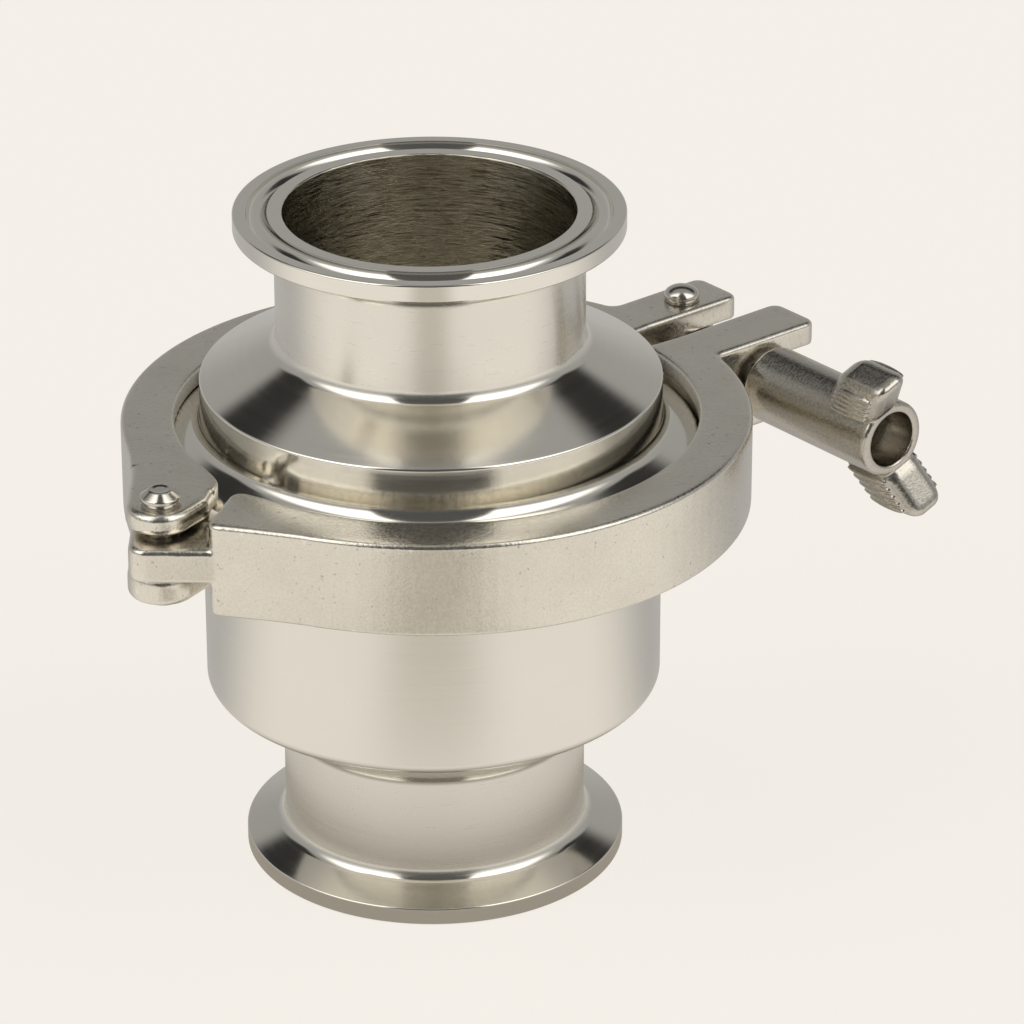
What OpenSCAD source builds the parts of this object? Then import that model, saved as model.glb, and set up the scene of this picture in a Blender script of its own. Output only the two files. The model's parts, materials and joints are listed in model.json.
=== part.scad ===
// Hygienic non-return valve: two turned body halves held by a hinged clamp, with a sprung disc inside.
// The valve axis is Z, the inlet face is z = 0 and the flow goes up. Millimetres.

/* [Body] */
// Height from the inlet face to the outlet face
overall_h = 115; // [108:0.5:130]
// Outside diameter of the pipe necks
tube_d = 50.8; // [46:0.1:54]
// Wall of the turned body
wall = 1.5; // [1:0.1:2.2]
// Outside diameter of the cup and of the cap
cup_d = 76.2; // [74:0.1:80]
// Height of the cup's lower corner above the inlet face
cup_z = 32; // [30:0.5:36]
// Angle of the cup's underside, from horizontal
cup_angle = 33; // [26:1:36]
// Height of the cap's shoulder edge below the outlet face
cap_drop = 29; // [27:0.5:31]
// Angle of the cap's cone, from horizontal
cap_angle = 27; // [22:1:32]
// Radius of the cup's lower corner
cup_corner = 2; // [1:0.1:3]
// Radius of the cap's shoulder edge
cap_corner = 0.5; // [0.3:0.1:1.5]
// Fillet where a neck meets a ferrule or a cone
neck_fillet = 2.4; // [1:0.1:3]

/* [Ferrules and flanges] */
// Outside diameter of the pipe ferrules
ferrule_d = 64; // [62:0.5:70]
// Outside diameter of the body flanges
flange_d = 91; // [89:0.5:92]
// Height of every ferrule and flange rim
rim_h = 2.85; // [2:0.05:4]
// Back taper of every ferrule and flange
taper = 20; // [15:1:25]
// Rounding of the rim edges
rim_edge = 0.3; // [0.1:0.05:0.6]
// Radius of the half-round gasket grooves
groove_r = 1.7; // [1:0.1:2]
// How far the ferrule grooves lie inside the ferrule's rim
ferrule_groove_in = 3.9; // [3:0.1:4.5]
// How far the body flange grooves lie inside the flange's rim
flange_groove_in = 3.75; // [3.25:0.05:4.25]
// Height of the joint between the body halves
joint_z = 71.5; // [68:0.5:74]
// Thickness of the body gasket
gasket_t = 1.8; // [1:0.1:3]

/* [Valve disc] */
// How far the disc's edge reaches out beyond the inlet bore
disc_overlap = 7.6; // [6.5:0.1:8.5]
// Height of the disc's rim above its cone
disc_rim_h = 2.465; // [2:0.005:4]
// Section radius of the seal ring
seal_r = 1.8; // [1.4:0.1:2]
// How far the seal ring's seat line lies inside the disc's edge
seal_inset = 2.9; // [2.6:0.1:3.4]
// How far the disc edge stands off the seat cone
disc_gap = 0.8; // [0.5:0.1:1]
// Diameter of the stem
stem_d = 8; // [7:0.5:9]
// Diameter of the stem collar on the disc
collar_d = 14; // [12:0.5:16]
// Height of the stem collar
collar_h = 3; // [2:0.5:5]
// How far the disc lifts off its seat
disc_lift = 12; // [8:0.5:13]
// Number of guide legs in the inlet bore
leg_count = 4; // [3:1:6]
// Thickness of a guide leg
leg_t = 3; // [2:0.5:4]
// Length of a guide leg below the disc
leg_h = 19; // [14:1:21]
// Diameter of the guide's hub plate
guide_hub_d = 26; // [22:1:30]
// Thickness of the guide's hub plate
guide_hub_h = 3; // [2:0.5:4]
// Outside diameter of the stem washer
washer_d = 16; // [14:0.5:18]
// Thickness of the stem washer
washer_t = 1.6; // [1:0.1:2.5]
// Width of the stem nut across its flats
nut_flats = 13; // [12:0.5:14]
// Height of the stem nut
nut_h = 6.5; // [5:0.5:8]

/* [Spider and spring] */
// Height of the spider rim
spider_h = 4; // [3:0.5:5]
// Radial width of the spider rim
spider_rim_w = 3.4; // [2.5:0.1:4.5]
// Number of spider spokes
spoke_count = 3; // [3:1:5]
// Width of a spider spoke
spoke_w = 4; // [3:0.5:6]
// Diameter of the spider hub
hub_d = 16; // [14.5:0.5:17]
// Length of the spider hub below the rim
hub_h = 15; // [12:1:20]
// Outside diameter of the guide bush
bush_d = 12; // [10.5:0.5:12.5]
// Thickness of the bush flange
bush_flange_t = 1.5; // [1:0.1:2.5]
// Mean diameter of the spring
spring_d = 22; // [20.5:0.5:25]
// Diameter of the spring wire
spring_wire = 1.8; // [1.4:0.1:2.2]
// Number of open turns of the spring
spring_turns = 7; // [5:1:8]

/* [Clamp] */
// Height of the clamp ring
clamp_h = 15.9; // [15:0.1:18]
// Wall of the clamp ring behind its groove
clamp_wall = 5.05; // [4:0.05:6]
// Radial gap between the flange rims and the bottom of the clamp's groove
groove_room = 1.5; // [1.2:0.1:2]
// How far the clamp's lips reach in over the flange rims
lip_bite = 2.2; // [1.5:0.1:3]
// Turn of the clamp about the valve, from +X to its lugs
clamp_turn = 38.5; // [-180:0.5:180]
// How far the loose clamp sits off the valve axis, towards +X
clamp_offset = 0.9; // [0:0.1:1]
// Rounding of the clamp's outer edges
clamp_edge = 1.6; // [0.8:0.1:2]
// Distance of the hinge pin outside the clamp ring
hinge_out = 4.15; // [3.8:0.05:5]
// Radius of the hinge ears round their pin
ear_r = 5.7; // [5.2:0.1:6]
// Rounding of the hinge ears' edges
ear_edge = 1.5; // [0.6:0.1:1.7]
// Height of the hinge tongue
tongue_h = 5.7; // [5:0.1:6.5]
// How far the middle of the tongue stands above the joint
tongue_lift = 0.55; // [0:0.05:0.8]
// Gap above and below the hinge tongue
ear_gap = 0.7; // [0.3:0.05:0.8]
// Diameter of the hinge pin and of the bolt pivot pin
pin_d = 5; // [4:0.1:5.6]

/* [Lugs, bolt and wing nut] */
// Distance of the bolt pivot outside the clamp ring
pivot_out = 9.25; // [8:0.05:11]
// Distance of the bolt pivot behind the split line
pivot_y = 8.8; // [8.4:0.1:9.2]
// Reach of the rear lug beyond the clamp ring
rear_lug_l = 17.85; // [16:0.05:20]
// Reach of the front lug beyond the clamp ring
front_lug_l = 20.65; // [19:0.05:23]
// Distance of the rear lug's face from the split line
rear_lug_y = 3.5; // [2.5:0.1:4]
// Distance of the front lug's face from the split line
front_lug_y = 2.8; // [2:0.1:3.5]
// Width of a lug
lug_w = 10.5; // [10:0.1:12]
// Height of the slot through the lugs
slot_h = 7.7; // [7.4:0.1:8.2]
// Corner radius of a lug, seen from above
lug_corner = 2; // [1.5:0.1:3]
// Rounding of the lug edges
lug_edge = 1.2; // [0.6:0.1:1.4]
// Diameter of the swing bolt's shank
bolt_d = 6.8; // [6:0.1:7]
// Diameter of the swing bolt's eye
eye_d = 11; // [10:0.1:12]
// Height of the swing bolt's eye
eye_h = 7.2; // [7.1:0.05:7.3]
// Diameter of the wing nut's barrel
barrel_d = 13.1; // [12.4:0.1:14]
// Gap left between the fork and the wing nut, which is run up by hand
nut_gap = 1; // [0.1:0.1:1.5]
// Length of the wing nut's barrel
barrel_l = 30.3; // [26:0.1:34]
// Diameter of the recess in the barrel's end
recess_d = 9.4; // [8.6:0.1:9.8]
// Depth of the recess in the barrel's end
recess_l = 9.5; // [8:0.1:12]
// Reach of a wing from the barrel's axis
wing_r = 13.6; // [12:0.1:15]
// Thickness of a wing
wing_t = 6.6; // [6:0.1:8]
// Length of a wing where it leaves the barrel
wing_base_l = 12.2; // [11:0.1:14]
// Length of a wing at its tip
wing_tip_l = 10.6; // [8:0.1:12]
// How far a wing's tip stands out beyond the barrel's end
wing_sweep = 5.4; // [1:0.1:6]
// Lean of the wings from upright
wing_lean = 21; // [-45:1:45]
// Number of grip ribs on each side of a wing
rib_count = 5; // [2:1:6]
// Radius of a grip rib
rib_r = 0.45; // [0.3:0.05:0.6]
// Height of the pin heads above their rims
head_h = 1.05; // [0.8:0.05:2]
// Height of the visible collar under a pin head
pin_collar_h = 1.4; // [0.5:0.1:2]
// Diameter of the hinge pin's head
hinge_head_d = 6.6; // [6:0.1:8]
// Diameter of the bolt pivot pin's head
pivot_head_d = 6.2; // [6:0.1:8]

/* [Hidden] */

// Fits and clearances, each a radial or a face gap
fixed_fit = 0.02;
running_fit = 0.05;
seal_gap = 0.05;
leg_gap = 0.3;
seat_gap = 0.05;
slot_gap = 0.7;
cut_over = 1;

// Colours
turned = "#cfcac0";
cast = "#b4aea3";
polished = "#d8d5cf";
rubber = "#e9e6dd";
plastic = "#f2f0ea";

// Radii and heights that follow from the sizes above
bore_r = tube_d / 2 - wall;
tube_r = tube_d / 2;
cup_r = cup_d / 2;
chamber_r = cup_r - wall;
ferrule_groove_d = ferrule_d - 2 * ferrule_groove_in;
flange_groove_d = flange_d - 2 * flange_groove_in;
ferrule_r = ferrule_d / 2;
flange_r = flange_d / 2;
cap_z = overall_h - cap_drop;
lower_face_z = joint_z - gasket_t / 2;
upper_face_z = joint_z + gasket_t / 2;
cup_rise = wall / cos(cup_angle);
cap_rise = wall / cos(cap_angle);
arc_steps = 6;
fine = 96;
hull_fn = 32;

// Height of the seat cone, the inside of the cup's underside, at radius r
function seat_z(r) = cup_z - (cup_r - r) * tan(cup_angle) + cup_rise;
// Height of the inside of the cap's cone at radius r
function cap_in_z(r) = cap_z + (cup_r - r) * tan(cap_angle) - cap_rise;
// Height that a back taper gains from its rim to radius r
function taper_z(rim_r, r) = (rim_r - r) * tan(taper);

// Points of one corner [x, y, radius], rounded between the corners before and after it
function unit(v) = v / norm(v);
function flat(p) = [p[0], p[1]];
function corner(a, p, b) =
    let (u = unit(flat(a) - flat(p)), v = unit(flat(b) - flat(p)), half = acos(u * v) / 2)
    let (c = flat(p) + unit(u + v) * p[2] / sin(half), reach = p[2] / tan(half))
    let (s = flat(p) + u * reach - c, e = flat(p) + v * reach - c)
    let (from = atan2(s[1], s[0]), turn = (atan2(e[1], e[0]) - from + 540) % 360 - 180)
    [for (i = [0 : arc_steps]) c + p[2] * [cos(from + turn * i / arc_steps), sin(from + turn * i / arc_steps)]];
// A closed outline from corners [x, y, radius]; a radius of 0 keeps the corner sharp
function outline(p) = let (n = len(p))
    [for (i = [0 : n - 1]) each p[i][2] > 0 ? corner(p[(i + n - 1) % n], p[i], p[(i + 1) % n]) : [flat(p[i])]];

// A half-round groove's cutter in a turned face
module groove_cut(pitch_d, z) {
    translate([pitch_d / 2, z]) circle(r = groove_r, $fn = fine / 2);
}

// Lower half of the body: inlet ferrule, neck, cup with the seat cone, and flange
module lower_body() {
    color(turned) rotate_extrude($fn = fine) difference() {
        polygon(outline([
            [bore_r, 0, rim_edge],
            [ferrule_r, 0, rim_edge],
            [ferrule_r, rim_h, rim_edge],
            [tube_r, rim_h + taper_z(ferrule_r, tube_r), neck_fillet],
            [tube_r, cup_z - (cup_r - tube_r) * tan(cup_angle), neck_fillet],
            [cup_r, cup_z, cup_corner],
            [cup_r, lower_face_z - rim_h - taper_z(flange_r, cup_r), neck_fillet],
            [flange_r, lower_face_z - rim_h, rim_edge],
            [flange_r, lower_face_z, rim_edge],
            [chamber_r, lower_face_z, 0],
            [chamber_r, seat_z(chamber_r), cup_corner],
            [bore_r, seat_z(bore_r), rim_edge]
        ]));
        groove_cut(ferrule_groove_d, 0);
        groove_cut(flange_groove_d, lower_face_z);
    }
}

// Upper half of the body: flange, cap cylinder, cone, neck and outlet ferrule
module upper_body() {
    color(turned) rotate_extrude($fn = fine) difference() {
        polygon(outline([
            [chamber_r, upper_face_z, 0],
            [flange_r, upper_face_z, rim_edge],
            [flange_r, upper_face_z + rim_h, rim_edge],
            [cup_r, upper_face_z + rim_h + taper_z(flange_r, cup_r), neck_fillet],
            [cup_r, cap_z, cap_corner],
            [tube_r, cap_z + (cup_r - tube_r) * tan(cap_angle), neck_fillet],
            [tube_r, overall_h - rim_h - taper_z(ferrule_r, tube_r), neck_fillet],
            [ferrule_r, overall_h - rim_h, rim_edge],
            [ferrule_r, overall_h, rim_edge],
            [bore_r, overall_h, rim_edge],
            [bore_r, cap_in_z(bore_r), rim_edge],
            [chamber_r, cap_in_z(chamber_r), 0]
        ]));
        groove_cut(ferrule_groove_d, overall_h);
        groove_cut(flange_groove_d, upper_face_z);
    }
}

// Flat gasket with a bead on each face that fills the flange grooves
module body_gasket() {
    color(rubber) rotate_extrude($fn = fine) {
        translate([chamber_r, lower_face_z]) square([flange_groove_d / 2 + groove_r + rim_edge - chamber_r, gasket_t]);
        for (z = [lower_face_z, upper_face_z])
            translate([flange_groove_d / 2, z]) circle(r = groove_r - seal_gap, $fn = fine / 2);
    }
}

// The disc and all that lifts with it, from the seat cone upwards
disc_r = bore_r + disc_overlap;
disc_z = seat_z(bore_r) + disc_gap / cos(cup_angle);
disc_edge_z = disc_z + disc_overlap * tan(cup_angle);
disc_top = disc_edge_z + disc_rim_h;
seat_r = disc_r - seal_inset;
seal_off = seal_r + seal_gap;
seal_x = seat_r - seal_off * sin(cup_angle);
seal_z = seat_z(seat_r) + seal_off * cos(cup_angle);
disc_edge = 0.8;

// Valve plug: its edge runs parallel to the seat cone and holds the seal ring
module valve_disc() {
    color(polished) rotate_extrude($fn = fine) difference() {
        polygon(outline([
            [stem_d / 2 + fixed_fit, disc_z, 0],
            [bore_r, disc_z, disc_edge],
            [disc_r, disc_edge_z, disc_edge],
            [disc_r, disc_top, disc_edge],
            [stem_d / 2 + fixed_fit, disc_top, 0]
        ]));
        translate([seal_x, seal_z]) circle(r = seal_r + fixed_fit, $fn = fine / 2);
    }
}

// Round seal ring in the disc's edge
module disc_seal_ring() {
    color(rubber) rotate_extrude($fn = fine) translate([seal_x, seal_z]) circle(r = seal_r, $fn = fine / 2);
}

// Winged guide under the disc: a hub plate with legs that slide in the inlet bore
leg_r = bore_r - leg_gap;
leg_w = 4;
leg_toe = 1.5;
module inlet_guide() {
    color(polished) difference() {
        union() {
            translate([0, 0, disc_z - guide_hub_h]) cylinder(d = guide_hub_d, h = guide_hub_h, $fn = fine);
            for (i = [0 : leg_count - 1]) rotate([90, 0, i * 360 / leg_count])
                linear_extrude(leg_t, center = true) polygon(outline([
                    [washer_d / 2 + running_fit, disc_z, 0],
                    [leg_r - leg_toe, disc_z, 0],
                    [leg_r, disc_z - leg_toe, 0],
                    [leg_r, disc_z - leg_h, leg_toe],
                    [leg_r - leg_w, disc_z - leg_h, leg_toe],
                    [leg_r - leg_w, disc_z - guide_hub_h * 2, leg_w],
                    [washer_d / 2 + running_fit, disc_z - guide_hub_h, 0]
                ]));
        }
        translate([0, 0, disc_z - guide_hub_h - cut_over])
            cylinder(d = stem_d + 2 * fixed_fit, h = guide_hub_h + 2 * cut_over, $fn = fine);
    }
}

// Stem with a collar that rests on the disc, a plain top that slides in the bush and a threaded foot
stem_chamfer = 0.8;
stem_foot = disc_z - guide_hub_h - washer_t - nut_h - stem_chamfer;
stem_top = cap_in_z(bore_r) - disc_lift - stem_chamfer;
module valve_stem() {
    color(polished) rotate_extrude($fn = fine) polygon([
        [0, stem_foot],
        [stem_d / 2 - stem_chamfer, stem_foot],
        [stem_d / 2, stem_foot + stem_chamfer],
        [stem_d / 2, disc_top],
        [collar_d / 2, disc_top],
        [collar_d / 2, disc_top + collar_h - stem_chamfer],
        [collar_d / 2 - stem_chamfer, disc_top + collar_h],
        [stem_d / 2, disc_top + collar_h],
        [stem_d / 2, stem_top - stem_chamfer],
        [stem_d / 2 - stem_chamfer, stem_top],
        [0, stem_top]
    ]);
}

// Washer under the guide's hub plate
module stem_washer() {
    color(polished) translate([0, 0, disc_z - guide_hub_h - washer_t]) difference() {
        cylinder(d = washer_d, h = washer_t, $fn = fine);
        translate([0, 0, -cut_over]) cylinder(d = stem_d + 2 * fixed_fit, h = washer_t + 2 * cut_over, $fn = fine);
    }
}

// Hexagon nut that holds the disc, guide and washer on the stem
module stem_nut() {
    color(polished) translate([0, 0, disc_z - guide_hub_h - washer_t - nut_h]) difference() {
        intersection() {
            cylinder(d = nut_flats / cos(30), h = nut_h, $fn = 6);
            rotate_extrude($fn = fine) polygon([
                [0, 0],
                [nut_flats / 2, 0],
                [nut_flats / 2 / cos(30), stem_chamfer],
                [nut_flats / 2 / cos(30), nut_h],
                [0, nut_h]
            ]);
        }
        translate([0, 0, -cut_over]) cylinder(d = stem_d + 2 * fixed_fit, h = nut_h + 2 * cut_over, $fn = fine);
    }
}

// Spider: rim in the cap under its cone, spokes, and a hub that carries the bush
spider_r = chamber_r - fixed_fit;
spider_top = cap_in_z(chamber_r) - running_fit;
spider_z = spider_top - spider_h;
hub_z = spider_z - hub_h;
hub_bore = bush_d / 2 + fixed_fit;
spoke_h = spider_h - 1;
module guide_spider() {
    color(polished) difference() {
        union() {
            rotate_extrude($fn = fine) translate([spider_r - spider_rim_w, spider_z]) square([spider_rim_w, spider_h]);
            translate([0, 0, hub_z]) cylinder(d = hub_d, h = hub_h + spider_h, $fn = fine);
            translate([0, 0, spider_z]) cylinder(d = spring_d + spring_wire, h = spoke_h, $fn = fine);
            for (i = [0 : spoke_count - 1]) rotate([0, 0, (i + 0.5) * 360 / spoke_count])
                translate([bush_d / 2 + cut_over, -spoke_w / 2, spider_z])
                    cube([spider_r - bush_d / 2 - cut_over - spider_rim_w / 2, spoke_w, spoke_h]);
        }
        translate([0, 0, hub_z - cut_over]) cylinder(r = hub_bore, h = hub_h + spider_h + 2 * cut_over, $fn = fine);
    }
}

// Flanged plastic bush in the spider's hub, in which the stem slides
module guide_bush() {
    color(plastic) rotate_extrude($fn = fine) polygon([
        [stem_d / 2 + running_fit, hub_z - bush_flange_t],
        [hub_d / 2, hub_z - bush_flange_t],
        [hub_d / 2, hub_z],
        [bush_d / 2, hub_z],
        [bush_d / 2, spider_top],
        [stem_d / 2 + running_fit, spider_top]
    ]);
}

// Compression spring with closed ends, swept along a helix whose pitch opens between its end turns
spring_low = disc_top;
spring_high = spider_z;
spring_sides = 8;
spring_steps = 16;
end_turns = 1;
all_turns = spring_turns + 2 * end_turns;
open_rise = spring_high - spring_low - spring_wire * (1 + 2 * end_turns);
function spring_rise(t) = spring_low + spring_wire / 2
    + spring_wire * (min(t, end_turns) + max(0, t - end_turns - spring_turns))
    + open_rise * min(max((t - end_turns) / spring_turns, 0), 1);
function spring_ring(t) = [for (s = [0 : spring_sides - 1])
    let (a = s * 360 / spring_sides, r = spring_d / 2 + spring_wire / 2 * cos(a))
    [r * cos(360 * t), r * sin(360 * t), spring_rise(t) + spring_wire / 2 * sin(a)]];
module valve_spring() {
    rings = all_turns * spring_steps;
    color(polished) polyhedron(
        points = [for (k = [0 : rings]) each spring_ring(k / spring_steps)],
        faces = concat(
            [[for (s = [0 : spring_sides - 1]) s]],
            [[for (s = [spring_sides - 1 : -1 : 0]) rings * spring_sides + s]],
            [for (k = [0 : rings - 1], s = [0 : spring_sides - 1])
                let (n = (s + 1) % spring_sides, a = k * spring_sides, b = a + spring_sides)
                [a + s, b + s, b + n, a + n]]
        )
    );
}

// The clamp has its own frame: x runs to the lugs, y to the rear half, z = 0 is the joint
lip_d = flange_d - 2 * lip_bite;
clamp_groove_d = flange_d + 2 * groove_room;
clamp_d = clamp_groove_d + 2 * clamp_wall;
ring_r = (clamp_d + lip_d) / 4;
ring_w = (clamp_d - lip_d) / 4;
half_h = clamp_h / 2;
lip_gap = clamp_offset * tan(taper) + seat_gap / cos(taper);
function lip_z(r) = gasket_t / 2 + rim_h + taper_z(flange_r, r) + lip_gap;
lip_edge = 0.8;
module clamp_place() {
    translate([clamp_offset, 0, joint_z]) rotate([0, 0, clamp_turn]) children();
}

// The clamp ring from one angle to another, outside only
module ring_arc(from, to) {
    rotate([0, 0, from]) rotate_extrude(angle = to - from, $fn = fine) polygon(outline([
        [lip_d / 2 - lip_edge, -half_h, 0],
        [clamp_d / 2, -half_h, clamp_edge],
        [clamp_d / 2, half_h, clamp_edge],
        [lip_d / 2 - lip_edge, half_h, 0]
    ]));
}

// What the clamp ring leaves free: the opening, the wedge groove and the rounded lips
module ring_space() {
    rotate_extrude($fn = fine) polygon(outline([
        [0, -half_h - cut_over, 0],
        [lip_d / 2 + cut_over, -half_h - cut_over, 0],
        [lip_d / 2, -half_h + lip_edge, lip_edge],
        [lip_d / 2, -lip_z(lip_d / 2), 0],
        [clamp_groove_d / 2, -lip_z(clamp_groove_d / 2), lip_edge],
        [clamp_groove_d / 2, lip_z(clamp_groove_d / 2), lip_edge],
        [lip_d / 2, lip_z(lip_d / 2), 0],
        [lip_d / 2, half_h - lip_edge, lip_edge],
        [lip_d / 2 + cut_over, half_h + cut_over, 0],
        [0, half_h + cut_over, 0]
    ]));
}

// A round pad with rounded edges, the child of the clamp's cast shapes
module pad(x, y, r, h, edge, mid = 0) {
    translate([x, y, mid]) rotate_extrude($fn = hull_fn) polygon(outline([
        [0, -h / 2, 0],
        [r, -h / 2, edge],
        [r, h / 2, edge],
        [0, h / 2, 0]
    ]));
}

// The root of a cast shape, sunk a little into the ring so that its faces run into the ring's
root_sink = 0.15;
module root(x, y, r, edge) {
    pad(x, y, r - root_sink, clamp_h - 2 * root_sink, edge);
}
module ring_root(angle) {
    root(ring_r * cos(angle), ring_r * sin(angle), ring_w, clamp_edge);
}

// A cast lug from the ring to its tip, between two distances from the split line
module lug(tip, near, far) {
    hull() {
        for (y = [near, far]) {
            pad(tip - lug_corner, y, lug_corner, clamp_h, lug_edge);
            root(ring_r, y, lug_corner, lug_edge);
        }
    }
}

// Places on the clamp, in its own frame; those at the hinge are given from its pin
hinge_x = clamp_d / 2 + hinge_out;
function from_pin(x, y) = [x - hinge_x, y];
ear_side = from_pin(6.9, 3.7);
ear_side_r = 5.8;
ear_front = from_pin(4.6, -0.4);
ear_front_r = 3.9;
ear_root_angle = 161;
web_r = 3.4;
web_inset = 0.3;
block_root_angle = 209;
block_outer = from_pin(3.15, -11.8);
block_corner = 2;
block_inner = from_pin(10.8, -6.7);
block_inner_edge = 0.5;
tongue_r = 5;
tongue_tip = from_pin(-5.1, -3);
tongue_inner = from_pin(6.9, -7.2);
tongue_corner = 3;
tongue_edge = 0.8;
ear_top = tongue_lift + tongue_h / 2 + ear_gap;
ear_foot = tongue_lift - tongue_h / 2 - ear_gap;
pivot_x = clamp_d / 2 + pivot_out;
rear_lug_x = clamp_d / 2 + rear_lug_l;
front_lug_x = clamp_d / 2 + front_lug_l;
lug_fillet = 2.5;
eye_seat_x = pivot_x - eye_d / 2 - slot_gap;
fork_seat_x = pivot_x - bolt_d / 2 - slot_gap;
rear_lug_far = rear_lug_y + lug_w;
front_lug_far = front_lug_y + lug_w;
split_rear = asin(rear_lug_y / ring_r);
split_front = asin(front_lug_y / ring_r);
pin_bore = pin_d / 2 + fixed_fit;
running_bore = pin_d / 2 + running_fit;

// One hinge ear between two heights: round the pin, past the flange and back to the ring
module hinge_ear(low, high) {
    mid = (low + high) / 2;
    h = high - low;
    hull() {
        pad(-hinge_x, 0, ear_r, h, ear_edge, mid);
        pad(ear_side[0], ear_side[1], ear_side_r, h, ear_edge, mid);
        pad(ear_front[0], ear_front[1], ear_front_r, h, ear_edge, mid);
        pad(ring_r * cos(ear_root_angle), ring_r * sin(ear_root_angle), ring_w - root_sink,
            h - 2 * root_sink, ear_edge, mid);
    }
}

// The wall behind the tongue, which carries both ears
module hinge_web() {
    hull() {
        pad(ear_side[0], ear_r + slot_gap + web_r, web_r, ear_top - ear_foot + 2 * ear_edge, tongue_edge,
            tongue_lift);
        pad(ring_r * cos(ear_root_angle), ring_r * sin(ear_root_angle), ring_w - web_inset,
            ear_top - ear_foot + 2 * ear_edge, tongue_edge, tongue_lift);
    }
}

// Fillet between the ring and the back of the rear lug, sunk a little into both
module lug_back_fillet() {
    reach = clamp_d / 2 + lug_fillet - root_sink;
    y = rear_lug_far + lug_fillet - root_sink;
    turn = asin(y / reach);
    translate([reach * cos(turn), y, 0]) rotate([0, 0, 180 + turn]) rotate_extrude(angle = 90 - turn, $fn = fine)
        polygon(outline([
            [lug_fillet, root_sink - half_h, lug_edge],
            [lug_fillet, half_h - root_sink, lug_edge],
            [2 * lug_fillet, half_h - root_sink, 0],
            [2 * lug_fillet, root_sink - half_h, 0]
        ]));
}

// Rear half of the clamp: ring, two hinge ears and two ears for the bolt's eye
module clamp_rear_half() {
    color(cast) clamp_place() difference() {
        union() {
            ring_arc(split_rear, ear_root_angle);
            lug(rear_lug_x, rear_lug_y + lug_corner, rear_lug_far - lug_corner);
            lug_back_fillet();
            hinge_ear(ear_top, half_h);
            hinge_ear(-half_h, ear_foot);
            hinge_web();
        }
        ring_space();
        translate([eye_seat_x, 0, -slot_h / 2]) cube([2 * eye_d, 2 * lug_w, slot_h]);
        translate([-hinge_x, 0, -clamp_h]) cylinder(r = pin_bore, h = 2 * clamp_h, $fn = fine);
        translate([pivot_x, pivot_y, -clamp_h]) cylinder(r = pin_bore, h = 2 * clamp_h, $fn = fine);
    }
}

// Front half of the clamp: ring, hinge block with its tongue, and the fork that takes the bolt
module clamp_front_half() {
    color(cast) clamp_place() difference() {
        union() {
            ring_arc(block_root_angle, 360 - split_front);
            lug(front_lug_x, -front_lug_y - lug_corner, -front_lug_far + lug_corner);
            hull() {
                ring_root(block_root_angle);
                pad(block_outer[0], block_outer[1], block_corner, clamp_h, clamp_edge);
                pad(block_inner[0], block_inner[1], block_corner, clamp_h, block_inner_edge);
            }
            hull() {
                pad(-hinge_x, 0, tongue_r, tongue_h, tongue_edge, tongue_lift);
                pad(tongue_tip[0], tongue_tip[1], tongue_corner, tongue_h, tongue_edge, tongue_lift);
                pad(block_outer[0], block_outer[1], block_corner - root_sink, tongue_h, tongue_edge, tongue_lift);
                pad(tongue_inner[0], tongue_inner[1], tongue_corner, tongue_h, tongue_edge, tongue_lift);
            }
        }
        ring_space();
        translate([fork_seat_x, -2 * lug_w, -slot_h / 2]) cube([2 * eye_d, 2 * lug_w, slot_h]);
        translate([-hinge_x, 0, -clamp_h]) cylinder(r = running_bore, h = 2 * clamp_h, $fn = fine);
    }
}

// A riveted pin: domed or coned head above, a collar under it, and a smaller formed tail below
collar_step = 0.3;
head_round = 0.7;
tail_h = 1.2;
tail_step = 0.4;
module riveted_pin(head_d, flat_r) {
    rim_z = half_h + pin_collar_h;
    rotate_extrude($fn = fine) polygon(outline([
        [0, -half_h - tail_h, 0],
        [pin_d / 2 + tail_step, -half_h - tail_h, tail_h / 2],
        [pin_d / 2 + tail_step, -half_h, 0],
        [pin_d / 2, -half_h, 0],
        [pin_d / 2, half_h, 0],
        [head_d / 2 - collar_step, half_h, 0],
        [head_d / 2 - collar_step, rim_z, 0],
        [head_d / 2, rim_z, 0],
        [head_d / 2, rim_z + collar_step, collar_step / 2],
        [flat_r, rim_z + head_h, head_round],
        [0, rim_z + head_h, 0]
    ]));
}

// Pin that joins the two clamp halves
module hinge_pin() {
    color(polished) clamp_place() translate([-hinge_x, 0, 0]) riveted_pin(hinge_head_d, hinge_head_d / 4);
}

// Pin on which the swing bolt turns
module bolt_pivot_pin() {
    color(polished) clamp_place() translate([pivot_x, pivot_y, 0]) riveted_pin(pivot_head_d, pivot_head_d / 6);
}

// Swing bolt: an eye on the pivot pin and a threaded shank through the fork
seat_y = -front_lug_far - nut_gap;
bolt_end_y = seat_y - barrel_l + recess_l - bolt_d / 8;
bolt_chamfer = 0.6;
module swing_bolt() {
    color(polished) clamp_place() difference() {
        union() {
            translate([pivot_x, pivot_y, -eye_h / 2]) cylinder(d = eye_d, h = eye_h, $fn = fine);
            translate([pivot_x, pivot_y, 0]) rotate([90, 0, 0]) rotate_extrude($fn = fine) polygon([
                [0, 0],
                [bolt_d / 2, 0],
                [bolt_d / 2, pivot_y - bolt_end_y - bolt_chamfer],
                [bolt_d / 2 - bolt_chamfer, pivot_y - bolt_end_y],
                [0, pivot_y - bolt_end_y]
            ]);
        }
        translate([pivot_x, pivot_y, -eye_h]) cylinder(r = running_bore, h = 2 * eye_h, $fn = fine);
    }
}

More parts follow.
